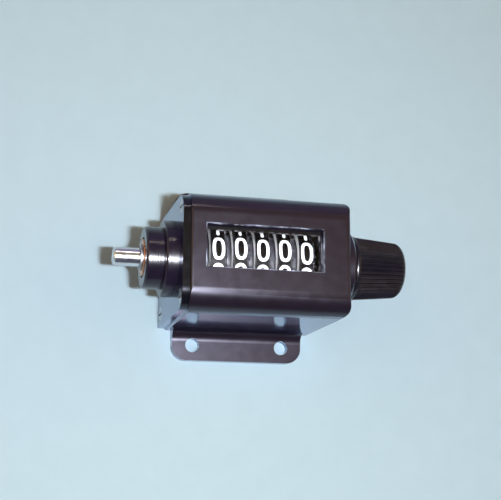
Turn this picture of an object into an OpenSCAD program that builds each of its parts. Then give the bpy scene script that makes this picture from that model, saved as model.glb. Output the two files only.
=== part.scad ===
// Five-figure measuring wheel counter with a drive shaft on the left and a reset knob on the right.
// X runs along the shafts, Y from front to rear, Z up to the face with the window.
// The origin is the centre of the four mounting holes on the underside.

/* [Case] */
// Length over the case and its end plate, along X
case_len = 58.2; // [52:0.1:80]
// Depth of the case, along Y
case_depth = 40.7; // [36.6:0.1:60]
// Height of the face above the mounting surface
case_height = 50; // [45:0.1:70]
// Side walls of the casting
wall = 2.4; // [1.8:0.1:2.8]
// Thickness of the face around the window
face_wall = 2.6; // [2:0.1:3.4]
// Thickness of the floor
floor_t = 3; // [2:0.1:3.6]
// Bend radius of the two long edges of the face
face_edge_r = 8; // [4:0.1:8.6]
// Radius of the two upright edges at the knob end
end_edge_r = 2.5; // [1:0.1:6]
// Radius of the face edge at the knob end
end_top_r = 1.8; // [0.5:0.1:3]
// Radius of the edges around the open end
mouth_edge_r = 0.9; // [0.3:0.1:1.8]

/* [Mounting feet] */
// Length of each foot, along X
foot_len = 48.5; // [42:0.1:54]
// Reach of each foot beyond its wall
foot_out = 11; // [9:0.1:16]
// Thickness of the feet
foot_t = 3.5; // [2.4:0.1:5]
// Radius of the outer corners of the feet
foot_corner_r = 5.4; // [2:0.1:7]
// Radius of the fillet between foot and wall
foot_fillet_r = 4.2; // [1:0.1:5]
// Diameter of the mounting holes
hole_d = 5.16; // [3:0.02:6]
// Distance between the mounting holes, along X
hole_pitch_x = 33.4; // [26:0.1:38]
// Distance between the mounting holes, along Y
hole_pitch_y = 51.6; // [50.6:0.1:52.6]

/* [Window] */
// Length of the window opening in the face
window_len = 40.6; // [36:0.1:45]
// Width of the window opening in the face
window_width = 14.8; // [8:0.1:18]
// Distance of the window's centre behind the shaft line
window_y = 1.6; // [-2:0.1:4]
// How far each side of the opening slopes inwards
window_slope = 0.6; // [0:0.1:1.2]
// Thickness of the lens
lens_t = 1.2; // [0.8:0.1:1.8]
// Rim of the lens that is cemented under the face
lens_rim = 1.4; // [0.8:0.1:2.2]

/* [End plate and boss] */
// Thickness of the end plate
plate_t = 2.6; // [2:0.1:3.4]
// Step from the case down to the end plate
plate_step = 0.7; // [0.2:0.1:1.2]
// Radius of the large step of the boss
boss_big_r = 13.2; // [11.5:0.1:14.5]
// Length of the large step
boss_big_len = 4.4; // [2:0.1:8]
// Radius of the small step of the boss
boss_r = 10.7; // [8.5:0.1:11.3]
// Length of the small step
boss_len = 6.3; // [3:0.1:12]
// Shank radius of the end plate screws
plate_screw_r = 1.4; // [1:0.05:1.6]

/* [Drive] */
// Diameter of the drive shaft
shaft_d = 6.35; // [5:0.05:7]
// Bare length of the drive shaft outside the boss
shaft_out = 10.1; // [8:0.1:24]
// Outer radius of the bronze bush
bush_r = 6.35; // [5.2:0.05:7.2]
// How far the bush stands out of the boss
bush_proud = 0.3; // [0.1:0.05:0.8]
// Teeth of each of the four equal drive gears
drive_teeth = 17; // [15:1:22]

/* [Number wheels] */
// Width of a wheel's figure band
rim_w = 5.2; // [4.6:0.1:5.8]
// Room for the drive gears between the end plate and the first wheel
gear_room = 7.5; // [6.7:0.1:9]
// Room for the right gears and the clip between the last wheel and the wall
clip_room = 9.5; // [8.5:0.1:12]
// Air between the wheels and the lens
lens_air = 1.1; // [0.5:0.1:2]
// Diameter of the reset shaft that carries the wheels
reset_d = 5; // [4.4:0.1:5.6]
// Diameter of the shaft that carries the transfer pinions
pinion_shaft_d = 2.5; // [1.6:0.1:3]
// Diameter of the lay shaft
lay_d = 4; // [3:0.1:5]

/* [Reset knob] */
// Radius of the round boss behind the knob
knob_boss_r = 13.4; // [11.5:0.1:14.5]
// Length of that boss
knob_boss_len = 4.1; // [2:0.1:12]
// Length of the knob
knob_len = 19.5; // [14:0.1:28]
// Radius of the knob at its collar
knob_r = 11.5; // [10.4:0.1:13]
// Radius of the knob at its outer end
knob_tip_r = 10; // [7.5:0.1:10.2]
// Number of flutes around the knob
flutes = 40; // [24:1:48]

/* [Hidden] */

$fn = 72;
eps = 1;
run_gap = 0.05;
end_play = 0.1;

// Case and end plate, along X
x_left = -case_len / 2;
x_right = case_len / 2;
x_hood = x_left + plate_t;
half_depth = case_depth / 2;
inner_half = half_depth - wall;
inner_top = case_height - face_wall;
x_inner = x_right - face_wall;
inner_edge_r = max(face_edge_r - wall, 0.6);
inner_low_r = 0.6;
base_edge_r = 0.8;
knob_boss_edge = 0.8;

// Number wheels, shared out over the length that is left between the gears and the clip
wheels = 5;
wheel_pitch = (x_inner - x_hood - gear_room - clip_room - rim_w) / (wheels - 1);
bank_len = (wheels - 1) * wheel_pitch + rim_w;
bank_x = x_hood + gear_room + bank_len / 2;
side_gap = wheel_pitch - rim_w;
gear_w = (side_gap - end_play) / 2 - 0.05;
hub_out = side_gap / 2 - end_play / 2;
function rim_x(i) = bank_x - bank_len / 2 + i * wheel_pitch;
hub_r = reset_d / 2 + 1.7;
rim_t = 2.4;
web_t = 1.2;
rim_chamfer = 0.25;

// What sets the place of the transfer pinions and of the lay shaft, which lie behind and below the wheels
wheel_teeth = 20;
pinion_teeth = 8;
addendum = 0.9;
dedendum = 1.15;
transfer_pressure = 25;
transfer_shift = 0.3;
transfer_air = 0.55;
pinion_dir = -45;
pinion_tip = pinion_teeth / 2 + addendum + transfer_shift;
drive_addendum = 0.925;
lay_air = 0.7;
lay_dir = -110;
floor_air = 2.4;
wall_air = 0.2;

// The wheels are as large as the height and the depth of the case let them be
lens_z = inner_top - lens_t;
lay_step = lay_d / 2 + lay_air;
lay_reach = (drive_teeth / 2 + drive_addendum) / drive_teeth;
lay_drop = -sin(lay_dir) + lay_reach;
pinion_reach = cos(pinion_dir) + 2 * pinion_tip / (wheel_teeth + pinion_teeth);
wheel_r = min((lens_z - lens_air - floor_t - floor_air - lay_drop * lay_step) / (1 + lay_drop),
    (inner_half - wall_air) / pinion_reach - pinion_shaft_d / 2 - transfer_air);
axis_z = lens_z - lens_air - wheel_r;

// Corners of the lens
lens_half = [window_len / 2 + lens_rim, window_width / 2 + lens_rim];
lens_lo = [bank_x, window_y] - lens_half;
lens_hi = [bank_x, window_y] + lens_half;
lens_clear = 0.4;

// Transfer gears, which turn the next wheel a tenth for one turn
transfer_dist = wheel_r + pinion_shaft_d / 2 + transfer_air;
transfer_m = 2 * transfer_dist / (wheel_teeth + pinion_teeth);
pinion_tip_r = transfer_m * pinion_tip;
drum_r = transfer_dist - pinion_tip_r - 0.2;
drum_in_r = drum_r - 1.3;
drive_tooth_r = transfer_dist * 0.72;
wheels_step = 10;
passed = 180 / wheels_step;
pinion_pos = [transfer_dist * cos(pinion_dir), axis_z + transfer_dist * sin(pinion_dir)];

// Lay shaft under the wheels, with four equal gears
lay_dist = wheel_r + lay_step;
lay_m = lay_dist / drive_teeth;
lay_pos = [lay_dist * cos(lay_dir), axis_z + lay_dist * sin(lay_dir)];
gear_pressure = 20;
backlash = 0.12;

// Bearing plates and what stands between them
bearing_t = 1.5;
first_gap = 2.4;
last_gap = 3.6;
gear_air = 0.4;
left_plate_x = rim_x(0) - first_gap - bearing_t;
right_plate_x = rim_x(wheels - 1) + rim_w + last_gap;
plate_clear = 0.15;
bearing_top = lens_z - 0.2;
spacer_r = 1.5;
tenon_r = 0.9;
spacer_y = inner_half - spacer_r - 0.25;
spacer_pos = [[spacer_y * 0.585, floor_t + 4], [-spacer_y, axis_z - wheel_r * 0.72],
    [spacer_y, axis_z + wheel_r * 0.54]];

// Ledges inside the case that the right bearing plate stands against
ledge_in = 2.4;
ledge_h = 14;

// Corner posts of the case and the end plate's screws
post_r = plate_screw_r + 1.3;
post_air = 0.3;
screw_head_r = plate_screw_r * 1.9;
screw_edge = 0.4;
post_in = max(2.2, face_edge_r - wall - (face_edge_r - plate_step - screw_head_r - screw_edge) / sqrt(2));
lip_t = 1.2;
post_y = inner_half - post_in;
post_z = [floor_t + post_in, inner_top - post_in];
screw_len = 10;
screw_head_t = 1.5;
screw_slot = 0.7;

// Drive side
shaft_r = shaft_d / 2;
boss_step_x = x_left - boss_big_len;
boss_x = boss_step_x - boss_len;
boss_big_edge = 0.5;
boss_edge = 0.7;
boss_relief = 0.5;
recess_air = 0.6;
recess_depth = 1;
bush_x = boss_x - bush_proud;
shaft_tip_x = boss_x - shaft_out;
bush_edge = 0.3;
shaft_edge = 0.6;
washer_t = 0.6;
washer_x = x_hood + end_play;
drive_gear_x = washer_x + washer_t + end_play;
drive_gear_end = left_plate_x - gear_air - end_play;
ring_t = 0.65;
ring_x = bush_x - end_play - ring_t;
ring_groove_r = shaft_r - 0.45;
units_gear_x = rim_x(wheels - 1) + rim_w + gear_air;
units_gear_w = drive_gear_end - drive_gear_x;

// Reset side
reset_r = reset_d / 2;
reset_left = left_plate_x - 0.2;
knob_bush_r = reset_r + 2;
bush_wall = 2;
knob_boss_x = x_right + knob_boss_len;
knob_x = knob_boss_x + 0.5;
knob_end = knob_x + knob_len;
collar_w = 1.6;
collar_edge = 0.35;
grip_r = knob_r - 0.2;
flute_depth = 0.7;
knob_end_r = 3.2;
reset_end = knob_end - 7;
clip_t = 0.7;
clip_x = x_inner - end_play - clip_t;
clip_groove_r = reset_r - 0.5;
knob_screw_r = 1.5;
knob_screw_out = knob_tip_r - 0.6;
knob_screw_slot = 0.5;
knob_screw_x = knob_x + collar_w + 3;
flat_depth = 0.4;
keyway_w = 1;
keyway_depth = 0.7;
pawl_x = 1.5;
pawl_t = 1.2;
pawl_eye_r = 1.1;
pawl_post_r = 0.6;
pawl_pivot_r = drum_in_r - pawl_eye_r - 0.5;
pawl_pivot = [-sqrt(pow(pawl_pivot_r, 2) - pow(hub_r + pawl_eye_r, 2)), hub_r + pawl_eye_r];

black = "#26221f";
steel = "#b9bcc0";
brass = "#b99a4c";

// A flat drawing in Y and Z carried along X
module along_x(x0, x1) translate([x0, 0, 0]) rotate([90, 0, 90]) linear_extrude(x1 - x0) children();

// A flat drawing in X and Z carried along Y
module along_y(y0, y1) translate([0, y1, 0]) rotate([90, 0, 0]) linear_extrude(y1 - y0) children();

// A profile of radius and X turned about a shaft line at the given Y and Z
module turned(pos = [0, axis_z]) translate([0, pos.x, pos.y]) rotate([90, 0, 90]) rotate_extrude() children();

// A plain rod between two places along X
module rod(x0, x1, r, pos = [0, axis_z]) along_x(x0, x1) translate(pos) circle(r);

// A rod with a chamfer at both ends
module chamfered_rod(x0, x1, r, c, pos = [0, axis_z])
    turned(pos) polygon([[0, x0], [r - c, x0], [r, x0 + c], [r, x1 - c], [r - c, x1], [0, x1]]);

// A tube between two places along X
module tube(x0, x1, r_out, r_in, pos = [0, axis_z])
    along_x(x0, x1) translate(pos) difference() { circle(r_out); circle(r_in); }

// What a round corner takes off a square one at the origin
module corner_waste(r) difference() {
    translate([-eps, -eps]) square(r + eps);
    translate([r, r]) circle(r);
}

// A rectangle with its lower and upper corners rounded
module soft_rect(lo, hi, r_low, r_high) difference() {
    translate(lo) square(hi - lo);
    for (side = [0, 1]) {
        translate([side ? hi.x : lo.x, lo.y]) mirror([side, 0]) corner_waste(r_low);
        translate([side ? hi.x : lo.x, hi.y]) mirror([side, 0]) mirror([0, 1]) corner_waste(r_high);
    }
}

function involute(a) = tan(a) * 180 / PI - a;

// Half the angle that a tooth takes up at radius r
function tooth_half(r, n, m, shift, pressure) =
    (90 + 2 * shift * tan(pressure) * 180 / PI) / n - backlash / (m * n) * 180 / PI
    + involute(pressure) - involute(acos(min(1, m * n / 2 * cos(pressure) / r)));

// Outline of a spur gear with tooth 0 centred on angle 0, as radius and angle.
// odd_only cuts every second tooth away.
function gear_outline(n, m, shift, pressure, tip, root, odd_only = false) = let(
    foot = max(root, m * n / 2 * cos(pressure)),
    half = [for (k = [0:4]) let(r = foot + (tip - foot) * k / 4) [r, tooth_half(r, n, m, shift, pressure)]])
    [for (tooth = [0:n - 1]) let(a = tooth * 360 / n) each concat(
        [[root, a - half[0][1]]],
        odd_only && tooth % 2 == 0 ? [] : [for (k = [0:4]) [half[k][0], a - half[k][1]]],
        odd_only && tooth % 2 == 0 ? [] : [for (k = [4:-1:0]) [half[k][0], a + half[k][1]]],
        [[root, a + half[0][1]]])];

function polar(points) = [for (p = points) [p[0] * cos(p[1]), p[0] * sin(p[1])]];

// One of the four equal drive gears
module drive_gear_2d() polygon(polar(gear_outline(drive_teeth, lay_m, 0, gear_pressure,
    lay_m * (drive_teeth / 2 + drive_addendum), lay_m * (drive_teeth / 2 - 1.2))));

// The eight-tooth pinion, or its four long teeth alone
module pinion_2d(odd_only) polygon(polar(gear_outline(pinion_teeth, transfer_m, transfer_shift,
    transfer_pressure, pinion_tip_r, transfer_m * (pinion_teeth / 2 - dedendum + transfer_shift), odd_only)));

// The twenty-tooth gear on the side of a number wheel
module wheel_gear_2d() polygon(polar(gear_outline(wheel_teeth, transfer_m, -transfer_shift, transfer_pressure,
    transfer_m * (wheel_teeth / 2 + addendum - transfer_shift),
    transfer_m * (wheel_teeth / 2 - dedendum - transfer_shift))));

module housing_block() intersection() {
    along_x(x_hood, x_right) soft_rect([-half_depth, 0], [half_depth, case_height], base_edge_r, face_edge_r);
    linear_extrude(case_height) difference() {
        translate([x_hood, -half_depth]) square([x_right - x_hood, case_depth]);
        for (side = [0, 1]) mirror([0, side]) {
            translate([x_right, -half_depth]) mirror([1, 0]) corner_waste(end_edge_r);
            translate([x_hood, -half_depth]) corner_waste(mouth_edge_r);
        }
    }
    along_y(-half_depth, half_depth) difference() {
        translate([x_hood, 0]) square([x_right - x_hood, case_height]);
        translate([x_right, case_height]) mirror([1, 0]) mirror([0, 1]) corner_waste(end_top_r);
        translate([x_hood, case_height]) mirror([0, 1]) corner_waste(mouth_edge_r);
    }
}

module foot() {
    linear_extrude(foot_t) difference() {
        translate([-foot_len / 2, -half_depth - foot_out]) square([foot_len, foot_out + wall]);
        for (side = [0, 1]) mirror([side, 0])
            translate([-foot_len / 2, -half_depth - foot_out]) corner_waste(foot_corner_r);
    }
    along_x(-foot_len / 2, foot_len / 2) translate([-half_depth, foot_t]) difference() {
        translate([-foot_fillet_r, -wall / 2]) square([foot_fillet_r + wall / 2, foot_fillet_r + wall / 2]);
        translate([-foot_fillet_r, foot_fillet_r]) circle(foot_fillet_r);
    }
}

// Puts a drawing of the upper rear corner post in all four corners
module each_post() for (side = [0, 1]) mirror([side, 0]) {
    translate([post_y, post_z[1]]) children();
    translate([post_y, post_z[0]]) mirror([0, 1]) children();
}

// The corners that the plates leave free for the posts
module post_rooms() each_post() translate(-[post_r + post_air, post_r + post_air]) difference() {
    square(post_r + post_air + post_in);
    corner_waste(post_r + post_air);
}

// What a plate inside the case can fill between floor, walls and face
module inner_outline() soft_rect([-inner_half + plate_clear, floor_t + plate_clear],
    [inner_half - plate_clear, inner_top - plate_clear], inner_low_r, inner_edge_r);

module cavity() difference() {
    along_x(x_hood - eps, x_inner)
        soft_rect([-inner_half, floor_t], [inner_half, inner_top], inner_low_r, inner_edge_r);
    along_x(x_hood, x_inner + eps) each_post() {
        circle(post_r);
        square(post_r + post_in);
    }
    for (side = [0, 1]) mirror([0, side, 0])
        translate([right_plate_x + bearing_t, inner_half - ledge_in, axis_z - ledge_h / 2])
        cube([x_inner - right_plate_x - bearing_t + eps, ledge_in + eps, ledge_h]);
}

module window_cut() intersection() {
    along_y(-half_depth, half_depth) translate([bank_x, 0]) polygon([
        [-window_len / 2 + window_slope, inner_top], [window_len / 2 - window_slope, inner_top],
        [window_len / 2, case_height], [window_len / 2, case_height + eps],
        [-window_len / 2, case_height + eps], [-window_len / 2, case_height]]);
    along_x(x_hood, x_right) translate([window_y, 0]) polygon([
        [-window_width / 2 + window_slope, inner_top], [window_width / 2 - window_slope, inner_top],
        [window_width / 2, case_height], [window_width / 2, case_height + eps],
        [-window_width / 2, case_height + eps], [-window_width / 2, case_height]]);
}

module case() color(black) difference() {
    union() {
        housing_block();
        foot();
        mirror([0, 1, 0]) foot();
        turned() polygon([[0, x_inner + 0.5], [knob_boss_r, x_inner + 0.5],
            [knob_boss_r, knob_boss_x - knob_boss_edge], [knob_boss_r - knob_boss_edge, knob_boss_x],
            [0, knob_boss_x]]);
    }
    translate([x_left - eps, -half_depth, -eps]) cube([plate_t + eps, case_depth, case_height]);
    cavity();
    tube(x_inner - eps, knob_boss_x - face_wall, knob_boss_r - wall, knob_bush_r + bush_wall);
    window_cut();
    rod(x_inner - eps, knob_boss_x + eps, knob_bush_r);
    for (side = [-1, 1], z = post_z)
        rod(x_hood - eps, x_hood + screw_len - plate_t + 0.5, plate_screw_r, [side * post_y, z]);
    for (x = [-1, 1], y = [-1, 1]) translate([x * hole_pitch_x / 2, y * hole_pitch_y / 2, -eps])
        cylinder(h = foot_t + foot_fillet_r, d = hole_d);
}

// The register lip of the end plate reaches in to the left bearing plate and holds the works in place
module end_plate() color(black) difference() {
    union() {
        along_x(x_left, x_hood) soft_rect([-half_depth + plate_step, 0],
            [half_depth - plate_step, case_height - plate_step], base_edge_r, face_edge_r - plate_step);
        turned() polygon([[0, x_left + 0.5], [boss_big_r, x_left + 0.5],
            [boss_big_r, boss_step_x + boss_big_edge], [boss_big_r - boss_big_edge, boss_step_x],
            [boss_r - boss_relief, boss_step_x],
            [boss_r - boss_relief, boss_step_x - boss_relief], [boss_r, boss_step_x - boss_relief],
            [boss_r, boss_x + boss_edge], [boss_r - boss_edge, boss_x], [0, boss_x]]);
        difference() {
            along_x(x_hood - 0.5, left_plate_x) difference() {
                inner_outline();
                soft_rect([-inner_half + plate_clear + lip_t, floor_t + plate_clear + lip_t],
                    [inner_half - plate_clear - lip_t, inner_top - plate_clear - lip_t],
                    inner_low_r, inner_low_r);
                post_rooms();
            }
            translate([lens_lo.x - lens_clear, lens_lo.y - lens_clear, lens_z - lens_clear])
                cube([lens_hi.x - lens_lo.x, lens_hi.y - lens_lo.y + 2 * lens_clear, case_height]);
        }
    }
    rod(boss_x - eps, x_hood + eps, bush_r);
    rod(boss_x - eps, boss_x + recess_depth, bush_r + recess_air);
    for (side = [-1, 1], z = post_z) turned([side * post_y, z]) polygon([[0, x_left - eps],
        [screw_head_r, x_left - eps], [screw_head_r, x_left], [plate_screw_r, x_left + screw_head_t],
        [plate_screw_r, x_hood + eps], [0, x_hood + eps]]);
}

module end_plate_screws() color(steel) for (side = [-1, 1], z = post_z) difference() {
    turned([side * post_y, z]) polygon([[0, x_left], [screw_head_r, x_left],
        [plate_screw_r, x_left + screw_head_t], [plate_screw_r, x_left + screw_len - 0.5],
        [plate_screw_r - 0.5, x_left + screw_len], [0, x_left + screw_len]]);
    translate([x_left - eps, side * post_y - screw_slot / 2, z - screw_head_r - eps])
        cube([screw_slot + eps, screw_slot, 2 * (screw_head_r + eps)]);
}

module window_lens() color("#cfd8dc", 0.4)
    translate([0, 0, lens_z]) linear_extrude(lens_t) soft_rect(lens_lo, lens_hi, 0.8, 0.8);

module shaft_bush() color(brass)
    turned() polygon([[shaft_r + run_gap, bush_x], [bush_r - bush_edge, bush_x],
        [bush_r, bush_x + bush_edge], [bush_r, x_hood], [shaft_r + run_gap, x_hood]]);

module drive_shaft() color(steel) turned() polygon([[0, shaft_tip_x], [shaft_r - shaft_edge, shaft_tip_x],
    [shaft_r, shaft_tip_x + shaft_edge], [shaft_r, ring_x - run_gap], [ring_groove_r, ring_x - run_gap],
    [ring_groove_r, ring_x + ring_t + run_gap], [shaft_r, ring_x + ring_t + run_gap],
    [shaft_r, drive_gear_end], [0, drive_gear_end]]);

// A spring clip with its gap on one side
module spring_clip(x, t, r_out, r_in) along_x(x, x + t) translate([0, axis_z]) difference() {
    circle(r_out);
    circle(r_in);
    translate([0, -r_in * 0.55]) square([r_out + eps, r_in * 1.1]);
}

module shaft_retaining_ring() color(steel) spring_clip(ring_x, ring_t, shaft_r + 1.2, ring_groove_r);

module thrust_washer() color(brass) tube(washer_x, washer_x + washer_t, bush_r - 0.6, shaft_r);

module drive_gear() color(brass) along_x(drive_gear_x, drive_gear_end) translate([0, axis_z]) difference() {
    rotate(lay_dir) drive_gear_2d();
    circle(shaft_r);
}

// Outline shared by both bearing plates, cut away around the corner posts
module bearing_plate(x) along_x(x, x + bearing_t) difference() {
    intersection() {
        inner_outline();
        translate([-half_depth, 0]) square([case_depth, bearing_top]);
    }
    post_rooms();
    translate([0, axis_z]) circle(reset_r + run_gap);
    translate(lay_pos) circle(lay_d / 2 + run_gap);
    translate(pinion_pos) circle(pinion_shaft_d / 2);
    for (p = spacer_pos) translate(p) circle(tenon_r);
}

module left_bearing_plate() color(steel) bearing_plate(left_plate_x);
module right_bearing_plate() color(steel) bearing_plate(right_plate_x);

module frame_spacers() color(steel) for (p = spacer_pos) turned(p) polygon([
    [0, left_plate_x], [tenon_r, left_plate_x], [tenon_r, left_plate_x + bearing_t],
    [spacer_r, left_plate_x + bearing_t], [spacer_r, right_plate_x], [tenon_r, right_plate_x],
    [tenon_r, right_plate_x + bearing_t], [0, right_plate_x + bearing_t]]);

module pinion_shaft() color(steel)
    rod(left_plate_x, right_plate_x + bearing_t, pinion_shaft_d / 2, pinion_pos);

module lay_shaft() color(steel)
    chamfered_rod(drive_gear_x, right_plate_x + bearing_t + 0.6, lay_d / 2, 0.3, lay_pos);

// A lay gear stands with a gap where the gear that it meets has a tooth
module lay_gear(x0, x1) along_x(x0, x1) translate(lay_pos) difference() {
    rotate(lay_dir + 180 + 180 / drive_teeth) drive_gear_2d();
    circle(lay_d / 2);
}

module lay_gear_left() color(brass) lay_gear(drive_gear_x, drive_gear_end);
module lay_gear_right() color(brass) lay_gear(units_gear_x, units_gear_x + units_gear_w);

module stack_spacer() color(brass) tube(left_plate_x + bearing_t, rim_x(0) - hub_out - end_play,
    hub_r, reset_r + run_gap);

module wheel_shaft() color(steel) difference() {
    turned() polygon([[0, reset_left], [reset_r - 0.3, reset_left], [reset_r, reset_left + 0.3],
        [reset_r, clip_x - run_gap], [clip_groove_r, clip_x - run_gap],
        [clip_groove_r, clip_x + clip_t + run_gap], [reset_r, clip_x + clip_t + run_gap],
        [reset_r, reset_end], [0, reset_end]]);
    translate([rim_x(0) - 0.5, -keyway_w / 2, axis_z + reset_r - keyway_depth])
        cube([bank_len + 1, keyway_w, keyway_depth + eps]);
    translate([knob_screw_x - 2.5, -reset_r, axis_z - reset_r - eps])
        cube([reset_end - knob_screw_x + 2.5 + eps, 2 * reset_r, flat_depth + eps]);
}

module wheel_shaft_clip() color(steel) spring_clip(clip_x, clip_t, reset_r + 1.5, clip_groove_r);

module knob_bush() color(brass) tube(x_inner, knob_boss_x, knob_bush_r, reset_r + run_gap);

// Outline of the fluted grip at its collar end: a shallow wave, six points to a flute
function flute_outline(r) = [for (k = [0:flutes * 6 - 1]) let(a = k * 60 / flutes)
    (r - flute_depth / 2 * (1 - cos(k * 60))) * [cos(a), sin(a)]];

module reset_knob() color(black) difference() {
    union() {
        turned() polygon([[0, knob_x], [knob_r - collar_edge, knob_x], [knob_r, knob_x + collar_edge],
            [knob_r, knob_x + collar_w - collar_edge], [knob_r - collar_edge, knob_x + collar_w],
            [0, knob_x + collar_w]]);
        intersection() {
            translate([knob_x + collar_w - 0.5, 0, axis_z]) rotate([90, 0, 90])
                linear_extrude(knob_len - collar_w + 0.5, scale = (knob_tip_r - 0.3) / grip_r)
                polygon(flute_outline(grip_r));
            turned() difference() {
                translate([0, knob_x]) square([knob_r, knob_len]);
                translate([knob_tip_r, knob_end]) mirror([1, 0]) mirror([0, 1]) corner_waste(knob_end_r);
                translate([knob_tip_r, knob_end - knob_end_r]) square([knob_r, knob_end_r + eps]);
            }
        }
    }
    rod(knob_x - eps, reset_end, reset_r);
    rod(knob_x - eps, knob_x + 0.6, knob_bush_r + 1);
    translate([knob_screw_x, 0, axis_z - knob_r - eps]) cylinder(h = knob_r + eps, r = knob_screw_r);
}

module knob_set_screw() color(steel) translate([knob_screw_x, 0, axis_z]) difference() {
    translate([0, 0, -knob_screw_out])
        cylinder(h = knob_screw_out - reset_r + flat_depth, r = knob_screw_r);
    translate([-knob_screw_r - eps, -knob_screw_slot / 2, -knob_screw_out - eps])
        cube([2 * (knob_screw_r + eps), knob_screw_slot, eps + 0.8]);
}

// Two short teeth that step the next pinion once a turn, at the angle they have just after passing it
module drive_teeth_2d() for (side = [-1, 1]) rotate(pinion_dir + passed + side * 180 / wheel_teeth) polygon([
    [drum_r - 0.6, -1], [drum_r + 0.2, -1], [drive_tooth_r, -0.5],
    [drive_tooth_r, 0.5], [drum_r + 0.2, 1], [drum_r - 0.6, 1]]);

// Wheel 0 is the leftmost. Each has a hub, a drum for transfer on its left and a gear on its right.
module number_wheel(i) {
    x = rim_x(i);
    last = i == wheels - 1;
    hub_end = last ? right_plate_x - end_play : x + rim_w + hub_out;
    difference() {
        union() {
            turned() polygon([[0, x - hub_out], [hub_r, x - hub_out], [hub_r, x + rim_w - web_t],
                [drum_in_r, x + rim_w - web_t], [drum_in_r, x - gear_w], [drum_r, x - gear_w],
                [drum_r, x + rim_w - web_t], [wheel_r - rim_t, x + rim_w - web_t], [wheel_r - rim_t, x],
                [wheel_r - rim_chamfer, x], [wheel_r, x + rim_chamfer], [wheel_r, x + rim_w - rim_chamfer],
                [wheel_r - rim_chamfer, x + rim_w], [hub_r, x + rim_w],
                [hub_r, hub_end], [0, hub_end]]);
            if (i > 0) along_x(x - gear_w, x + 0.5) translate([0, axis_z]) drive_teeth_2d();
            if (last) along_x(x + rim_w - 0.5, units_gear_x + units_gear_w) translate([0, axis_z])
                rotate(lay_dir) drive_gear_2d();
            if (!last) along_x(x + rim_w - 0.5, x + rim_w + gear_w) translate([0, axis_z])
                rotate(pinion_dir + passed / wheels_step + 180 / wheel_teeth) wheel_gear_2d();
            translate([0, pawl_pivot.x, axis_z + pawl_pivot.y]) rotate([0, 90, 0])
                translate([0, 0, x + pawl_x]) cylinder(h = rim_w - web_t - pawl_x + 0.5, r = pawl_post_r);
        }
        rod(x - hub_out - eps, hub_end + eps, reset_r + run_gap);
        translate([x + pawl_x - 0.2, -0.7, axis_z]) cube([pawl_t + 0.4, 1.4, hub_r + 0.5]);
    }
}

// The pawl's nose stands just clear of the reset shaft until the keyway comes round to it
module reset_pawl(i) color(brass) along_x(rim_x(i) + pawl_x, rim_x(i) + pawl_x + pawl_t)
    translate([0, axis_z]) difference() {
        union() {
            translate(pawl_pivot) circle(pawl_eye_r);
            translate([pawl_pivot.x, pawl_pivot.y - 0.5]) square([0.5 - pawl_pivot.x, 1]);
            translate([-0.5, reset_r + run_gap]) square([1, pawl_pivot.y + 0.5 - reset_r - run_gap]);
        }
        translate(pawl_pivot) circle(pawl_post_r);
    }

// Pinion to the right of wheel i: eight teeth for that wheel's gear, four of them long enough
// to reach the drum
module transfer_pinion(i) color(brass) translate([rim_x(i) + rim_w + end_play, pinion_pos.x, pinion_pos.y])
    rotate([90, 0, 90]) rotate(pinion_dir + 180 - passed * 2 / pinion_teeth) difference() {
        union() {
            linear_extrude(gear_w) pinion_2d(false);
            translate([0, 0, gear_w]) linear_extrude(side_gap - 2 * end_play - gear_w) pinion_2d(true);
        }
        translate([0, 0, -eps]) cylinder(h = side_gap + eps, r = pinion_shaft_d / 2 + run_gap);
    }

module ten_thousands_wheel() color(black) number_wheel(0);
module thousands_wheel() color(black) number_wheel(1);
module hundreds_wheel() color(black) number_wheel(2);
module tens_wheel() color(black) number_wheel(3);
module units_wheel() color(black) number_wheel(4);
module ten_thousands_pawl() reset_pawl(0);
module thousands_pawl() reset_pawl(1);
module hundreds_pawl() reset_pawl(2);
module tens_pawl() reset_pawl(3);
module units_pawl() reset_pawl(4);
module ten_thousands_pinion() transfer_pinion(0);
module thousands_pinion() transfer_pinion(1);
module hundreds_pinion() transfer_pinion(2);
module tens_pinion() transfer_pinion(3);

case();
end_plate();
end_plate_screws();
window_lens();
shaft_bush();
drive_shaft();
shaft_retaining_ring();
thrust_washer();
drive_gear();
left_bearing_plate();
right_bearing_plate();
frame_spacers();
pinion_shaft();
lay_shaft();
lay_gear_left();
lay_gear_right();
stack_spacer();
wheel_shaft();
wheel_shaft_clip();
knob_bush();
reset_knob();
knob_set_screw();
ten_thousands_wheel();
thousands_wheel();
hundreds_wheel();
tens_wheel();
units_wheel();
ten_thousands_pawl();
thousands_pawl();
hundreds_pawl();
tens_pawl();
units_pawl();
ten_thousands_pinion();
thousands_pinion();
hundreds_pinion();
tens_pinion();
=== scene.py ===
from math import radians

import bmesh
import bpy
import numpy as np
from mathutils import Matrix, Vector


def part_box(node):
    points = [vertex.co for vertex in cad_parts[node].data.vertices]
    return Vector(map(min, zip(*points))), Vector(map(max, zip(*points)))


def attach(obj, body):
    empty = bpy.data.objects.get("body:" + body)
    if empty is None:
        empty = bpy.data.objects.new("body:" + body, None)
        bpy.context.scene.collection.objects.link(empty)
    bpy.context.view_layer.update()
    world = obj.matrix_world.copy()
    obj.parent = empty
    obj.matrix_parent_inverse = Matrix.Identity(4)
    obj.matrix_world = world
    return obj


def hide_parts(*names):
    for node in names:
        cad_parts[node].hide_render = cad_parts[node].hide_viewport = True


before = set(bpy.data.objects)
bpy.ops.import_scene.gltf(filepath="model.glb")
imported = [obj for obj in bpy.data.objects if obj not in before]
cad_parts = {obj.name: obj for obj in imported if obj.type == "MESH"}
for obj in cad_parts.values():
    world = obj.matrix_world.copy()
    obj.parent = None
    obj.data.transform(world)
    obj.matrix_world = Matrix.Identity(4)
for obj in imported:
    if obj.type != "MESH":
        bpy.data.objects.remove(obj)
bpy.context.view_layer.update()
mm = 0.001

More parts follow.
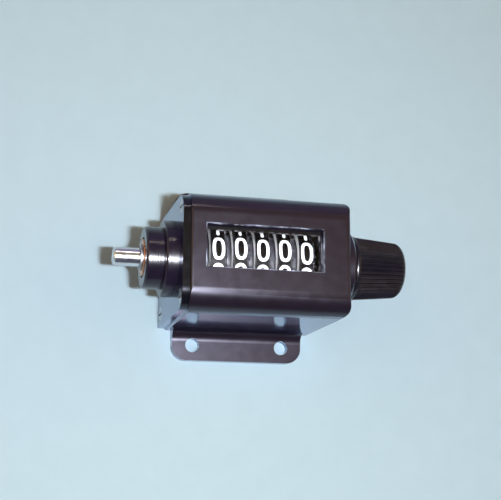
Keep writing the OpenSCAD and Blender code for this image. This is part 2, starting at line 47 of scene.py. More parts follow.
# View: the counter stands on a pale blue bench top and is seen from above its front left corner. Place
# and turn of the camera were fitted to the outline in the photograph.
camera_data = bpy.data.cameras.new("photo_camera")
camera = bpy.data.objects.new("photo_camera", camera_data)
bpy.context.scene.collection.objects.link(camera)
bpy.context.scene.camera = camera
photo_width_px = 501
focal_px = 1136.5
optical_centre_px = 251
film_width_mm = 36
camera_place = Vector((-95.76, -80.39, 408.32)) * mm
camera_right = Vector((0.97006, 0.00327, 0.24285))
camera_up = Vector((-0.05503, 0.97687, 0.20665))
camera_data.sensor_width = film_width_mm
camera_data.lens = focal_px / photo_width_px * film_width_mm
camera_data.shift_x = (photo_width_px / 2 - optical_centre_px) / photo_width_px
camera_data.clip_start = 20 * mm
turn = Matrix((camera_right, camera_up, camera_right.cross(camera_up))).transposed().to_4x4()
camera.matrix_world = Matrix.Translation(camera_place) @ turn
bpy.context.scene.view_settings.view_transform = "Standard"


def srgb(text):
    """Linear RGBA of an sRGB colour such as 4b4148: each channel follows the sRGB curve."""
    value = np.array([int(text[i:i + 2], 16) for i in (0, 2, 4)]) / 255
    linear = np.where(value <= 0.04045, value / 12.92, ((value + 0.055) / 1.055) ** 2.4)
    return (*linear.tolist(), 1.0)


def add_node(owner, kind, inputs=None, **settings):
    """Adds one shader node to a material or to the world. Settings are its own attributes. Each input
    is a plain value or the output socket of another node."""
    made = owner.node_tree.nodes.new(kind)
    for name, value in settings.items():
        setattr(made, name, value)
    for socket, value in (inputs or {}).items():
        if isinstance(value, bpy.types.NodeSocket):
            owner.node_tree.links.new(value, made.inputs[socket])
        else:
            made.inputs[socket].default_value = value
    return made


# Room: a camera flash with a short tube throws the hard shadow, a lamp strip on the ceiling behind draws
# the thin lines on what is glossy, and the room itself is dim: cool in front, warm overhead and violet
# grey on the far wall.
# Limits along Y and Z are parts of the direction that is looked in, from -1 to 1. The two shares are
# parts of the way from the front limit to the rear one.
front_y = -0.6
rear_y = 1.0
overhead_share = 0.52
far_wall_share = 0.85
low_z = 0.3
high_z = 0.9
wall_glow = 1.45
ceiling_glow = 0.33
world = bpy.data.worlds.new("dim_room")
bpy.context.scene.world = world
world.use_nodes = True
heading = add_node(world, "ShaderNodeSeparateXYZ",
                   {"Vector": add_node(world, "ShaderNodeTexCoord").outputs["Generated"]})
rearward = add_node(world, "ShaderNodeMapRange", {"Value": heading.outputs["Y"],
                                                  "From Min": front_y, "From Max": rear_y})
walls = add_node(world, "ShaderNodeValToRGB", {"Fac": rearward.outputs["Result"]})
walls.color_ramp.elements[0].color = srgb("50535e")
walls.color_ramp.elements[1].position = overhead_share
walls.color_ramp.elements[1].color = srgb("ffd996")
walls.color_ramp.elements.new(far_wall_share).color = srgb("857c98")
upward = add_node(world, "ShaderNodeMapRange", {"Value": heading.outputs["Z"],
                                                "From Min": low_z, "From Max": high_z,
                                                "To Min": wall_glow, "To Max": ceiling_glow})
background = world.node_tree.nodes["Background"]
world.node_tree.links.new(walls.outputs["Color"], background.inputs["Color"])
world.node_tree.links.new(upward.outputs["Result"], background.inputs["Strength"])
counter_middle = Vector((0, 0, 25)) * mm


def strip_lamp(name, place, size, watts, colour, glare_only=False):
    """A rectangular area lamp whose long side lies along X, turned to shine at the counter. Its place
    and size are in metres. One for glare only is mirrored in what is glossy and lights nothing else."""
    data = bpy.data.lights.new(name, "AREA")
    data.shape = "RECTANGLE"
    data.size, data.size_y = size
    data.energy = watts
    data.color = srgb(colour)[:3]
    lamp = bpy.data.objects.new(name, data)
    bpy.context.scene.collection.objects.link(lamp)
    lamp.location = place
    lamp.rotation_euler = (counter_middle - Vector(place)).to_track_quat("-Z", "Y").to_euler()
    lamp.visible_diffuse = not glare_only


flash_place = (-0.032, -0.088, 0.45)
flash_size = (0.03, 0.013)
strip_place = (0.235, 1.35, 1.2)
strip_size = (0.09, 0.06)
strip_lamp("camera_flash", flash_place, flash_size, watts=1.6, colour="eff7ff")
strip_lamp("flash_glare", flash_place, flash_size, watts=9.6, colour="f1f4ff", glare_only=True)
strip_lamp("ceiling_strip", strip_place, strip_size, watts=1.15, colour="fff0dc", glare_only=True)


# Bench top: a sheet of pale blue matt laminate. Its colour drifts a little over a centimetre, and its
# press grain is about a millimetre.
def new_finish(name, **sockets):
    """A material with one Principled shader whose plain sockets are set by name, with _ for a blank.
    Gives the material, its shader and its Object coordinates."""
    material = bpy.data.materials.new(name)
    material.use_nodes = True
    shader = material.node_tree.nodes["Principled BSDF"]
    for socket, value in sockets.items():
        shader.inputs[socket.replace("_", " ")].default_value = value
    return material, shader, add_node(material, "ShaderNodeTexCoord").outputs["Object"]


def clouded_colour(material, shader, place, grain, dark, light, soft=0.15):
    """The colour drifts between two shades in patches of about the grain's size in millimetres. Soft is
    half the share of the drift over which one shade turns to the other."""
    middle = 0.5
    patches = add_node(material, "ShaderNodeTexNoise", {"Vector": place, "Scale": 1 / (grain * mm),
                                                        "Detail": 4})
    ramp = add_node(material, "ShaderNodeValToRGB", {"Fac": patches.outputs["Fac"]})
    ramp.color_ramp.elements[0].position = middle - soft
    ramp.color_ramp.elements[0].color = srgb(dark)
    ramp.color_ramp.elements[1].position = middle + soft
    ramp.color_ramp.elements[1].color = srgb(light)
    material.node_tree.links.new(ramp.outputs["Color"], shader.inputs["Base Color"])
    return ramp


def uneven_gloss(material, shader, place, grain, smooth, rough):
    """The roughness drifts between two values in patches of about the grain's size in millimetres. It
    stays at them past the low and the high mark, which the noise seldom passes."""
    low_mark = 0.35
    high_mark = 0.65
    patches = add_node(material, "ShaderNodeTexNoise", {"Vector": place, "Scale": 1 / (grain * mm),
                                                        "Detail": 3})
    spread = add_node(material, "ShaderNodeMapRange", {"Value": patches.outputs["Fac"],
                                                       "From Min": low_mark, "From Max": high_mark,
                                                       "To Min": smooth, "To Max": rough})
    material.node_tree.links.new(spread.outputs["Result"], shader.inputs["Roughness"])


def fine_relief(material, shader, place, grain, depth):
    """Small heights and hollows, with the grain's size and the depth both in millimetres."""
    bumps = add_node(material, "ShaderNodeTexNoise", {"Vector": place, "Scale": 1 / (grain * mm),
                                                      "Detail": 2})
    raised = add_node(material, "ShaderNodeBump", {"Height": bumps.outputs["Fac"], "Strength": 1.0,
                                                   "Distance": depth * mm})
    material.node_tree.links.new(raised.outputs["Normal"], shader.inputs["Normal"])


bench_half = 3000 * mm
bench_corners = bench_half * np.array([(-1, -1, 0), (1, -1, 0), (1, 1, 0), (-1, 1, 0)])
bench_mesh = bpy.data.meshes.new("bench_top")
bench_mesh.from_pydata(bench_corners.tolist(), [], [(0, 1, 2, 3)])
bench = bpy.data.objects.new("bench_top", bench_mesh)
bpy.context.scene.collection.objects.link(bench)
laminate, shader, place = new_finish("pale_blue_laminate", Roughness=0.7, Specular_IOR_Level=0.1)
clouded_colour(laminate, shader, place, grain=9, dark="c5dfeb", light="c7e1ed")
fine_relief(laminate, shader, place, grain=0.8, depth=0.01)
bench_mesh.materials.append(laminate)


# Case: one zinc die casting with face, walls, floor, both feet and the round boss behind the knob.
# It is sprayed with satin black enamel, which lies a little softer along every edge.
def finished_solid(node, body, material, edge, sharp=35):
    """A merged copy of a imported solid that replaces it: doubled points are welded, flat facets are
    joined, edges over the sharp angle get a small round, and the large faces lead the shading. The
    edge's round is in millimetres and the sharp angle in degrees."""
    weld_gap = 0.002 * mm
    flat_within = radians(0.5)
    copy = bpy.data.objects.new(node + "_shell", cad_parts[node].data.copy())
    bpy.context.scene.collection.objects.link(copy)
    shape = bmesh.new()
    shape.from_mesh(copy.data)
    bmesh.ops.remove_doubles(shape, verts=shape.verts, dist=weld_gap)
    bmesh.ops.dissolve_limit(shape, angle_limit=flat_within, verts=shape.verts, edges=shape.edges)
    shape.to_mesh(copy.data)
    shape.free()
    copy.data.materials.clear()
    copy.data.materials.append(material)
    copy.data.shade_smooth()
    copy.data.set_sharp_from_angle(angle=radians(sharp))
    bevel = copy.modifiers.new("edge_round", "BEVEL")
    bevel.width = edge * mm
    bevel.segments = 2
    bevel.limit_method = "ANGLE"
    bevel.angle_limit = radians(sharp)
    even = copy.modifiers.new("even_shading", "WEIGHTED_NORMAL")
    even.keep_sharp = True
    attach(copy, body)
    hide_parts(node)
    return copy


# Satin enamel: it mirrors the bench at a low angle, cold, and blurs the flash to a warmer glow on the
# face. The film clouds over about a centimetre. Its orange peel of half a millimetre is drawn three
# times as coarse so that it shows.
satin_enamel, shader, place = new_finish("satin_black_enamel", IOR=1.45, Specular_Tint=srgb("ffe9da"),
                                         Coat_Weight=1.0, Coat_IOR=1.38, Coat_Roughness=0.1,
                                         Coat_Tint=srgb("ccdcff"))
film = clouded_colour(satin_enamel, shader, place, grain=9, dark="24131a", light="2d1a20", soft=0.3)
uneven_gloss(satin_enamel, shader, place, grain=4, smooth=0.28, rough=0.32)
fine_relief(satin_enamel, shader, place, grain=1.6, depth=0.0012)
# The rim of the window is worn to bare zinc in places, as a hair line that comes and goes every few
# millimetres round the opening. This bright bare line is also a painted highlight where the rim's edge
# catches the light. The opening is the lens less the lip that covers its edge.
case_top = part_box("case")[1].z
lens_low, lens_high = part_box("window_lens")
lip = 1.4 * mm
rim_glint_width = 0.16 * mm
rim_glint_depth = 0.7 * mm
rim_glint_length = 5 * mm
paint_ends = 0.42
bare_glint_from = 0.66
parts = add_node(satin_enamel, "ShaderNodeSeparateXYZ", {"Vector": place})
past_opening = []
for axis, low, high in (("X", lens_low.x, lens_high.x), ("Y", lens_low.y, lens_high.y)):
    off = add_node(satin_enamel, "ShaderNodeMath", {0: parts.outputs[axis], 1: (low + high) / 2},
                   operation="SUBTRACT")
    reach = add_node(satin_enamel, "ShaderNodeMath", {0: off.outputs[0]}, operation="ABSOLUTE")
    past_opening.append(add_node(satin_enamel, "ShaderNodeMath",
                                 {0: reach.outputs[0], 1: (high - low) / 2 - lip}, operation="SUBTRACT"))
outward = add_node(satin_enamel, "ShaderNodeMath",
                   {0: past_opening[0].outputs[0], 1: past_opening[1].outputs[0]}, operation="MAXIMUM")
near_rim = add_node(satin_enamel, "ShaderNodeMath", {0: outward.outputs[0], 1: 0.0, 2: rim_glint_width},
                    operation="COMPARE")
near_top = add_node(satin_enamel, "ShaderNodeMath", {0: parts.outputs["Z"], 1: case_top - rim_glint_depth},
                    operation="GREATER_THAN")
on_rim = add_node(satin_enamel, "ShaderNodeMath", {0: near_rim.outputs[0], 1: near_top.outputs[0]},
                  operation="MULTIPLY")
wear_glint_noise = add_node(satin_enamel, "ShaderNodeTexNoise", {"Vector": place, "Scale": 1 / rim_glint_length,
                                                        "Detail": 5})
wear_glint_patches = add_node(satin_enamel, "ShaderNodeMapRange", {"Value": wear_glint_noise.outputs["Fac"],
                                                       "From Min": paint_ends, "From Max": bare_glint_from})
# The worn hair line is partly real wear and partly a painted highlight along the rim.
wear_and_glint = add_node(satin_enamel, "ShaderNodeMath", {0: on_rim.outputs[0], 1: wear_glint_patches.outputs["Result"]},
                operation="MULTIPLY")
# Inputs 6 and 7 of a Mix node are its two colours, and output 2 is the mixed one.
bare_zinc_and_glint = add_node(satin_enamel, "ShaderNodeMix", {0: wear_and_glint.outputs[0], 6: film.outputs["Color"],
                                                7: srgb("d8d2c8")}, data_type="RGBA")
satin_enamel.node_tree.links.new(bare_zinc_and_glint.outputs[2], shader.inputs["Base Color"])
satin_enamel.node_tree.links.new(wear_and_glint.outputs[0], shader.inputs["Metallic"])
finished_solid("case", "case", satin_enamel, edge=0.3)

# Window lens: clear acrylic sheet cemented under the face. Black print masks its rear and right margins,
# and light falls straight through the rest of it on the wheels. It is faintly scuffed, and it is bloomed
# against reflections, so that it mirrors little of the room.
print_margin_right = 2.4 * mm
print_margin_rear = 3.1 * mm
glint_line_width = 0.12 * mm
glint_line_length = 2.5 * mm
glint_line_from = 0.5
glint_line_full = 0.68
glint_line_strength = 0.6
clear_acrylic, shader, place = new_finish("clear_acrylic", IOR=1.18, Transmission_Weight=1.0,
                                          Base_Color=srgb("ffffff"))
uneven_gloss(clear_acrylic, shader, place, grain=3, smooth=0.0, rough=0.04)
light_path = add_node(clear_acrylic, "ShaderNodeLightPath")
let_through = add_node(clear_acrylic, "ShaderNodeBsdfTransparent")
clear_part = add_node(clear_acrylic, "ShaderNodeMixShader", {0: light_path.outputs["Is Shadow Ray"],
                                                             1: shader.outputs["BSDF"],
                                                             2: let_through.outputs["BSDF"]})
parts = add_node(clear_acrylic, "ShaderNodeSeparateXYZ", {"Vector": place})
past_print = [add_node(clear_acrylic, "ShaderNodeMath", {0: parts.outputs[axis], 1: edge},
                       operation="SUBTRACT")
              for axis, edge in (("X", lens_high.x - print_margin_right),
                                 ("Y", lens_high.y - print_margin_rear))]
into_print = add_node(clear_acrylic, "ShaderNodeMath",
                      {0: past_print[0].outputs[0], 1: past_print[1].outputs[0]}, operation="MAXIMUM")
masked = add_node(clear_acrylic, "ShaderNodeMath", {0: into_print.outputs[0], 1: 0.0},
                  operation="GREATER_THAN")
# Along the print's edge a bright hair line, which comes and goes, is a painted glint in the print's
# colour.
painted_glint_line = add_node(clear_acrylic, "ShaderNodeMath",
                     {0: into_print.outputs[0], 1: glint_line_width, 2: glint_line_width}, operation="COMPARE")
glint_break_noise = add_node(clear_acrylic, "ShaderNodeTexNoise", {"Vector": place, "Scale": 1 / glint_line_length,
                                                         "Detail": 4})
glint_breaks = add_node(clear_acrylic, "ShaderNodeMapRange", {"Value": glint_break_noise.outputs["Fac"],
                                                       "From Min": glint_line_from, "From Max": glint_line_full,
                                                       "To Max": glint_line_strength})
painted_glint = add_node(clear_acrylic, "ShaderNodeMath", {0: painted_glint_line.outputs[0], 1: glint_breaks.outputs["Result"]},
                  operation="MULTIPLY")
# The print is black, and light grey where the painted glint lies.
print_and_glint_colour = add_node(clear_acrylic, "ShaderNodeMix", {0: painted_glint.outputs[0], 6: srgb("0a080b"),
                                                         7: srgb("c9c4cc")}, data_type="RGBA")
black_print = add_node(clear_acrylic, "ShaderNodeBsdfPrincipled", {"Base Color": print_and_glint_colour.outputs[2],
                                                                   "Roughness": 0.2, "IOR": 1.4})
sheet = add_node(clear_acrylic, "ShaderNodeMixShader", {0: masked.outputs[0],
                                                        1: clear_part.outputs["Shader"],
                                                        2: black_print.outputs["BSDF"]})
clear_acrylic.node_tree.links.new(sheet.outputs["Shader"],
                                  clear_acrylic.node_tree.nodes["Material Output"].inputs["Surface"])
finished_solid("window_lens", "case", clear_acrylic, edge=0.08)

# Bearing plates: two stamped steel plates, zinc plated, that carry the pinion shaft, the lay shaft and
# the reset shaft. Three turned spacers are staked into both.
# Zinc plate is a soft grey metal with a mottled bloom of about a millimetre.
zinc_plate, shader, place = new_finish("zinc_plated_steel", Metallic=1.0)
clouded_colour(zinc_plate, shader, place, grain=1.5, dark="9a9da3", light="bfc3c8")
uneven_gloss(zinc_plate, shader, place, grain=0.8, smooth=0.26, rough=0.4)
fine_relief(zinc_plate, shader, place, grain=0.6, depth=0.004)
for side in ("left", "right"):
    finished_solid(side + "_bearing_plate", "case", zinc_plate, edge=0.12)
finished_solid("frame_spacers", "case", zinc_plate, edge=0.1)

# Pinion shaft: a bare ground steel rod, pressed through both bearing plates.
# Ground rod is bright, with fine grinding marks round it. The marks are really a twentieth of a
# millimetre wide and are drawn at half a millimetre so that they show.
# The knob, the wheels and the two shafts that come out of the case share one axis.
knob_low, knob_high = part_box("reset_knob")
axis_z = (knob_low.z + knob_high.z) / 2


def round_place(material, place):
    """Coordinates of a turned piece: the place along X, and the distance from the axis of the wheels,
    so that a pattern on them runs in rings round the axis and across the end faces."""
    parts = add_node(material, "ShaderNodeSeparateXYZ", {"Vector": place})
    above = add_node(material, "ShaderNodeMath", {0: parts.outputs["Z"], 1: axis_z}, operation="SUBTRACT")
    arm = add_node(material, "ShaderNodeCombineXYZ", {"X": parts.outputs["Y"], "Y": above.outputs[0]})
    reach = add_node(material, "ShaderNodeVectorMath", {0: arm.outputs["Vector"]}, operation="LENGTH")
    return add_node(material, "ShaderNodeCombineXYZ",
                    {"X": parts.outputs["X"], "Y": reach.outputs["Value"]}).outputs["Vector"]


ground_rod, shader, place = new_finish("ground_steel_rod", Metallic=1.0)
clouded_colour(ground_rod, shader, place, grain=2, dark="b4b4b6", light="cfcfcf")
uneven_gloss(ground_rod, shader, place, grain=1.2, smooth=0.16, rough=0.26)
fine_relief(ground_rod, shader, round_place(ground_rod, place), grain=0.5, depth=0.004)
finished_solid("pinion_shaft", "case", ground_rod, edge=0.1)

# Lay shaft: a ground steel rod under the wheels with a cut brass gear pressed on each end. It brings
# the drive round from the left end to the units wheel on the right.
# Cut brass is yellow with a slight brown tarnish in patches and fine tool marks.
cut_brass, shader, place = new_finish("cut_brass", Metallic=1.0)
clouded_colour(cut_brass, shader, place, grain=1.6, dark="a8853f", light="cfad62")
uneven_gloss(cut_brass, shader, place, grain=0.7, smooth=0.22, rough=0.38)
fine_relief(cut_brass, shader, place, grain=0.4, depth=0.003)
finished_solid("lay_shaft", "lay", ground_rod, edge=0.05)
for side in ("left", "right"):
    finished_solid("lay_gear_" + side, "lay", cut_brass, edge=0.06)

# Reset shaft: a ground steel rod with a milled keyway, which turns inside the wheels. A turned brass
# spacer closes the stack of wheels on the left, and a spring clip holds the shaft on the right.
# Oiled spring steel is dark grey with straw and blue tints left by the tempering.
finished_solid("wheel_shaft", "reset", ground_rod, edge=0.05)
finished_solid("stack_spacer", "case", cut_brass, edge=0.08)
oiled_spring, shader, place = new_finish("oiled_spring_steel", Metallic=1.0)
clouded_colour(oiled_spring, shader, place, grain=1.2, dark="4d4d57", light="6a6259")
uneven_gloss(oiled_spring, shader, place, grain=0.6, smooth=0.26, rough=0.42)
fine_relief(oiled_spring, shader, place, grain=0.4, depth=0.003)
finished_solid("wheel_shaft_clip", "reset", oiled_spring, edge=0.08)

# Number wheels: grey acetal mouldings. The band of each rim is hot-stamped black, and the narrow flat
# side of the rim is rolled white. The units wheel has a longer hub, with a gear that the lay shaft turns.
wheel_names = ("ten_thousands", "thousands", "hundreds", "tens", "units")
wheel_low, wheel_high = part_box("ten_thousands_wheel")
wheel_r = (wheel_high.z - wheel_low.z) / 2
rim_depth = 2.5 * mm
foil_reach = 0.15 * mm
side_facing = 0.9
foil_slot = 1
ink_slot = 2
# Acetal is smooth and faintly waxy, with a little flow mottling from the mould.
grey_acetal, shader, place = new_finish("grey_acetal", IOR=1.4)
clouded_colour(grey_acetal, shader, place, grain=2.5, dark="36353b", light="434148")
uneven_gloss(grey_acetal, shader, place, grain=1.5, smooth=0.22, rough=0.28)
fine_relief(grey_acetal, shader, place, grain=0.7, depth=0.004)
# Hot-stamped foil is a dense black film with a slight sheen and tiny wrinkles.
black_foil, shader, place = new_finish("hot_stamped_black", IOR=1.36)
clouded_colour(black_foil, shader, place, grain=1.5, dark="060608", light="0b0b0e")
uneven_gloss(black_foil, shader, place, grain=0.8, smooth=0.12, rough=0.18)
fine_relief(black_foil, shader, place, grain=0.5, depth=0.003)
# Rolled ink is opaque white and a little thinner in places.
rolled_white, shader, place = new_finish("rolled_white_ink", IOR=1.5)
clouded_colour(rolled_white, shader, place, grain=1.0, dark="e6e6e2", light="f4f4f1")
uneven_gloss(rolled_white, shader, place, grain=0.8, smooth=0.45, rough=0.55)
fine_relief(rolled_white, shader, place, grain=0.4, depth=0.003)


def corner_places(mesh):
    """All the mesh's points, one row each."""
    places = np.empty(len(mesh.vertices) * 3)
    mesh.vertices.foreach_get("co", places)
    return places.reshape(-1, 3)


def off_axis(places):
    """The distance of each point from the axis of the wheels."""
    return np.hypot(places[:, 1], places[:, 2] - axis_z)


def normal_x(mesh):
    """The X part of every face's normal."""
    normals = np.empty(len(mesh.polygons) * 3)
    mesh.polygons.foreach_get("normal", normals)
    return normals[::3]


def least_of_corners(mesh, values):
    """For every face, the least of the values that its corners have."""
    corners = np.empty(len(mesh.loops), np.int32)
    mesh.loops.foreach_get("vertex_index", corners)
    first = np.empty(len(mesh.polygons), np.int32)
    mesh.polygons.foreach_get("loop_start", first)
    return np.minimum.reduceat(values[corners], first)


for name in wheel_names:
    wheel = finished_solid(name + "_wheel", name, grey_acetal, edge=0.04)
    wheel.data.materials.append(black_foil)
    wheel.data.materials.append(rolled_white)
    inmost = least_of_corners(wheel.data, off_axis(corner_places(wheel.data)))
    sideways = np.abs(normal_x(wheel.data)) > side_facing
    finish = np.where(sideways & (inmost > wheel_r - rim_depth), ink_slot, 0)
    finish = np.where(inmost > wheel_r - foil_reach, foil_slot, finish)
    wheel.data.polygons.foreach_set("material_index", finish.astype(np.int32))

# Figures: 0 to 9, stamped in white foil on the band of each wheel and a little proud of it. A figure is
# a stroke of even width along a centre line of straight runs and arcs.
# Sizes are in millimetres on the unrolled band. Wide and tall are half the width and half the height of
# a centre line, and the inset is from the left edge of the band to the middle of a figure. Turns are in
# degrees: from one figure to the next, and of each wheel's 0 from the top towards the rear.
wide = 1.6
tall = 3.42
stroke = 1.02
upper_bowl = 1.8
lower_bowl = 1.75
six_bowl = 1.7
figure_turn = 36
figure_inset = 2.55
figure_proud = 0.02
first_turn = {"ten_thousands": 6.2, "thousands": 7.9, "hundreds": 7.05, "tens": 8.2, "units": 6.2}


def arc(centre, radii, start, end, power=2.0):
    """Points on a superellipse arc between two angles in degrees: x = a * |cos|^(2/p) and
    y = b * |sin|^(2/p), with their signs."""
    point_count = 25
    angle = np.radians(np.linspace(start, end, point_count))
    c, s = np.cos(angle), np.sin(angle)
    return np.column_stack((centre[0] + radii[0] * np.sign(c) * np.abs(c) ** (2 / power),
                            centre[1] + radii[1] * np.sign(s) * np.abs(s) ** (2 / power)))


def line(*points):
    """A run of straight pieces through the points."""
    return np.array(points, float)


zero = [arc((0, 0), (wide, tall), 0, 360, power=2.7)]
one = [line((0, -tall - 0.1), (0, tall), (-1.1, tall - 1.1))]
two = [np.vstack((arc((0, tall - wide), (wide, wide), 165, -38),
                  line((-wide, -tall), (wide, -tall))))]
three = [np.vstack((arc((-0.1, upper_bowl), (wide - 0.2, tall - upper_bowl), 150, -90),
                    arc((-0.1, -lower_bowl), (wide, tall - lower_bowl), 90, -150)))]
four = [line((0.7, -tall), (0.7, tall), (-wide, -1.3), (wide + 0.1, -1.3))]
five = [np.vstack((line((wide - 0.2, tall), (-wide + 0.3, tall), (-wide + 0.1, 0.3)),
                   arc((-0.1, -1.4), (wide, tall - 1.4), 115, -145)))]
six = [arc((0, -six_bowl), (wide, tall - six_bowl), 0, 360),
       arc((wide, -1.2), (2 * wide, tall + 1.2), 180, 112)]
seven = [line((-wide, tall), (wide, tall), (-0.5, -tall))]
eight = [arc((0, upper_bowl), (wide - 0.25, tall - upper_bowl), 0, 360),
         arc((0, -lower_bowl), (wide, tall - lower_bowl), 0, 360)]
# A 9 is a 6 turned half round.
nine = [-part for part in six]


def distance_to(centre_lines, points):
    """Least distance of each point from the pieces of the centre lines, by dropping a perpendicular
    on every piece and keeping its foot between the piece's ends. The least square stops a division by
    nothing where a piece has no length."""
    least_square = 1e-9
    starts = np.vstack([part[:-1] for part in centre_lines])
    runs = np.vstack([part[1:] - part[:-1] for part in centre_lines])
    offset = points[:, None, :] - starts[None, :, :]
    share = np.clip((offset * runs).sum(2) / np.maximum((runs ** 2).sum(1), least_square), 0, 1)
    return np.linalg.norm(offset - share[:, :, None] * runs, axis=2).min(1)


def filled_outline(field, points, triangles):
    """Cuts a sheet of triangles where the field changes sign and keeps the negative side. A triangle
    with one or two corners inside is cut along the straight line between the sign changes."""
    inside = field[triangles] < 0
    count = inside.sum(1)
    kept = [points[triangles[count == 3]]]
    for wanted in (1, 2):
        chosen = triangles[count == wanted]
        lone = np.argmax(inside[count == wanted] == (wanted == 1), axis=1)
        corner = [np.take_along_axis(chosen, ((lone + k) % 3)[:, None], 1)[:, 0] for k in range(3)]
        p = [points[c] for c in corner]
        f = [field[c][:, None] for c in corner]
        cut_1 = p[0] + (p[1] - p[0]) * f[0] / (f[0] - f[1])
        cut_2 = p[0] + (p[2] - p[0]) * f[0] / (f[0] - f[2])
        if wanted == 1:
            kept.append(np.stack((p[0], cut_1, cut_2), 1))
        else:
            kept.append(np.stack((cut_1, p[1], p[2]), 1))
            kept.append(np.stack((cut_1, p[2], cut_2), 1))
    return np.vstack(kept)


def figure_triangles(centre_lines):
    """One figure as flat triangles in millimetres: a grid sheet cut where the distance from the centre
    lines is half the stroke."""
    step = 0.15
    columns = np.arange(-wide - stroke, wide + stroke + step, step)
    rows = np.arange(-tall - stroke, tall + stroke + step, step)
    u, v = np.meshgrid(columns, rows)
    points = np.column_stack((u.ravel(), v.ravel()))
    index = np.arange(u.size).reshape(u.shape)
    c00, c10, c11, c01 = (part.ravel() for part in
                          (index[:-1, :-1], index[:-1, 1:], index[1:, 1:], index[1:, :-1]))
    triangles = np.vstack((np.column_stack((c00, c10, c11)), np.column_stack((c00, c11, c01))))
    return filled_outline(distance_to(centre_lines, points) - stroke / 2, points, triangles)


# Stamping foil is a clean opaque white, a little uneven where the stamp pressed less.
white_foil, shader, place = new_finish("white_stamping_foil", IOR=1.5)
clouded_colour(white_foil, shader, place, grain=1.5, dark="eceeee", light="fafbfb")
uneven_gloss(white_foil, shader, place, grain=0.8, smooth=0.42, rough=0.55)
figures = [figure_triangles(centre_lines)
           for centre_lines in (zero, one, two, three, four, five, six, seven, eight, nine)]
print_r = wheel_r + figure_proud * mm
same_place = 0.001 * mm
same_radius = 0.01 * mm
for name in wheel_names:
    solid_places = corner_places(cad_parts[name + "_wheel"].data)
    on_band = np.abs(off_axis(solid_places) - wheel_r) < same_radius
    figure_x = solid_places[on_band, 0].min() + figure_inset * mm
    rolled = []
    for k, flat in enumerate(figures):
        angle = np.radians(first_turn[name] + figure_turn * k) + flat[..., 1] * mm / wheel_r
        rolled.append(np.stack((figure_x + flat[..., 0] * mm, print_r * np.sin(angle),
                                axis_z + print_r * np.cos(angle)), -1))
    points = np.vstack(rolled).reshape(-1, 3)
    mesh = bpy.data.meshes.new(name + "_figures")
    mesh.from_pydata(points.tolist(), [], np.arange(len(points)).reshape(-1, 3).tolist())
    shape = bmesh.new()
    shape.from_mesh(mesh)
    bmesh.ops.remove_doubles(shape, verts=shape.verts, dist=same_place)
    shape.to_mesh(mesh)
    shape.free()
    mesh.materials.append(white_foil)
    mesh.shade_smooth()
    print_of_wheel = bpy.data.objects.new(name + "_figures", mesh)
    bpy.context.scene.collection.objects.link(print_of_wheel)
    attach(print_of_wheel, name)

# Pawls: small stampings of spring brass on a moulded post inside each wheel. The keyway catches them
# when the counter is set back to zero.
for name in wheel_names:
    finished_solid(name + "_pawl", name, cut_brass, edge=0.05)

# Transfer pinions: nylon mouldings that run loose on the pinion shaft. Each steps one wheel on from
# the wheel on its right.
# Natural nylon is cream, slightly cloudy and lets a little light in.
natural_nylon, shader, place = new_finish("natural_nylon", IOR=1.53, Subsurface_Weight=0.15)
clouded_colour(natural_nylon, shader, place, grain=2.0, dark="ddd6c4", light="ebe6d8")
uneven_gloss(natural_nylon, shader, place, grain=1.0, smooth=0.38, rough=0.5)
fine_relief(natural_nylon, shader, place, grain=0.6, depth=0.004)
for name in wheel_names[:-1]:
    finished_solid(name + "_pinion", name + "_transfer", natural_nylon, edge=0.05)

# End plate: a second zinc die casting with its boss turned in one piece, all of it enamelled gloss
# black. It is held on the open end of the case by four screws.
# Gloss enamel is deeper black than the case and mirrors the bench and the lamps.
gloss_enamel, shader, place = new_finish("gloss_black_enamel", IOR=1.45, Coat_Weight=0.8, Coat_IOR=1.2,
                                         Coat_Roughness=0.1, Coat_Tint=srgb("e4ecff"))
clouded_colour(gloss_enamel, shader, place, grain=7, dark="0d0b10", light="121016", soft=0.3)
uneven_gloss(gloss_enamel, shader, place, grain=3, smooth=0.13, rough=0.17)
fine_relief(gloss_enamel, shader, place, grain=1.2, depth=0.002)
# On the boss the enamel lies over turning marks a tenth of a millimetre apart, drawn at about half a
# millimetre so that they show. They run round it and draw each highlight out along the boss.
screw_seat = 0.05 * mm
turned_enamel, shader, place = new_finish("gloss_black_on_turned", IOR=1.45)
clouded_colour(turned_enamel, shader, place, grain=5, dark="1c1426", light="22182d", soft=0.3)
uneven_gloss(turned_enamel, shader, place, grain=2, smooth=0.18, rough=0.22)
fine_relief(turned_enamel, shader, round_place(turned_enamel, place), grain=0.45, depth=0.05)
end_plate = finished_solid("end_plate", "case", gloss_enamel, edge=0.2)
end_plate.data.materials.append(turned_enamel)
boss_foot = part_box("end_plate_screws")[0].x - screw_seat
on_boss = least_of_corners(end_plate.data, corner_places(end_plate.data)[:, 0]) < boss_foot
end_plate.data.polygons.foreach_set("material_index", on_boss.astype(np.int32))

# End plate screws: four slotted countersunk steel screws, zinc plated and dulled. They are driven into
# the corner posts of the case.
finished_solid("end_plate_screws", "case", zinc_plate, edge=0.08)

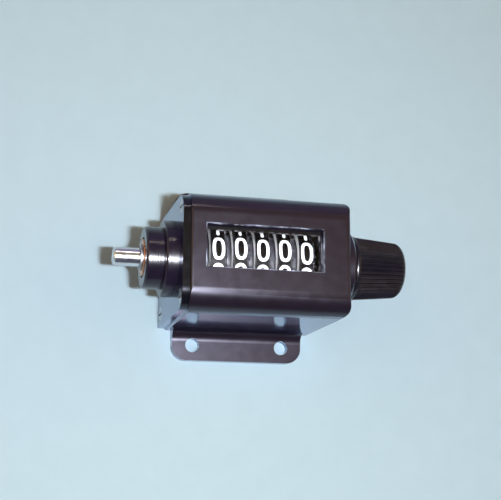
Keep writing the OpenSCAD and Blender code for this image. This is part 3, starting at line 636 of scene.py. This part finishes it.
# Bushes: sintered bronze, turned. One is pressed in the boss of the end plate for the drive shaft and
# stands a little proud of it, and one in the boss of the case for the reset shaft.
# Sintered bronze is pinkish, with oil-dark pores a fifth of a millimetre wide, drawn at half a
# millimetre so that they show, and rings from the tool.
darkest_at = 0.3
sintered_bronze, shader, place = new_finish("sintered_bronze", Metallic=1.0)
pores = clouded_colour(sintered_bronze, shader, place, grain=0.5, dark="6b4330", light="d69a72", soft=0.1)
pores.color_ramp.elements[0].position = darkest_at
uneven_gloss(sintered_bronze, shader, place, grain=0.6, smooth=0.22, rough=0.36)
fine_relief(sintered_bronze, shader, round_place(sintered_bronze, place), grain=0.5, depth=0.006)
finished_solid("shaft_bush", "case", sintered_bronze, edge=0.05)
finished_solid("knob_bush", "case", sintered_bronze, edge=0.05)

# Drive shaft: centreless ground bright steel with a chamfered end. A plated spring ring outside the
# boss and a brass washer inside keep it in place, and its gear is pressed on behind the washer.
# Bright steel is almost a mirror. Its faint grinding rings are drawn at half a millimetre to show.
bright_steel, shader, place = new_finish("ground_bright_steel", Metallic=1.0)
clouded_colour(bright_steel, shader, place, grain=3, dark="cfcfd4", light="e2e2e8")
uneven_gloss(bright_steel, shader, place, grain=1.5, smooth=0.13, rough=0.18)
fine_relief(bright_steel, shader, round_place(bright_steel, place), grain=0.5, depth=0.006)
finished_solid("drive_shaft", "drive", bright_steel, edge=0.05)
finished_solid("shaft_retaining_ring", "drive", zinc_plate, edge=0.06)
finished_solid("thrust_washer", "drive", cut_brass, edge=0.06)
finished_solid("drive_gear", "drive", cut_brass, edge=0.06)

# Reset knob: a black phenolic moulding with a plain collar and fine straight flutes, held on the reset
# shaft by a set screw.
# Phenolic is near black with a faint violet cast, and handling has dulled its polish in patches.
black_phenolic, shader, place = new_finish("black_phenolic", IOR=1.5)
clouded_colour(black_phenolic, shader, place, grain=4, dark="130f19", light="1c1723")
uneven_gloss(black_phenolic, shader, place, grain=2.5, smooth=0.2, rough=0.26)
fine_relief(black_phenolic, shader, place, grain=0.8, depth=0.006)
finished_solid("reset_knob", "reset", black_phenolic, edge=0.06, sharp=50)
finished_solid("knob_set_screw", "reset", oiled_spring, edge=0.05)
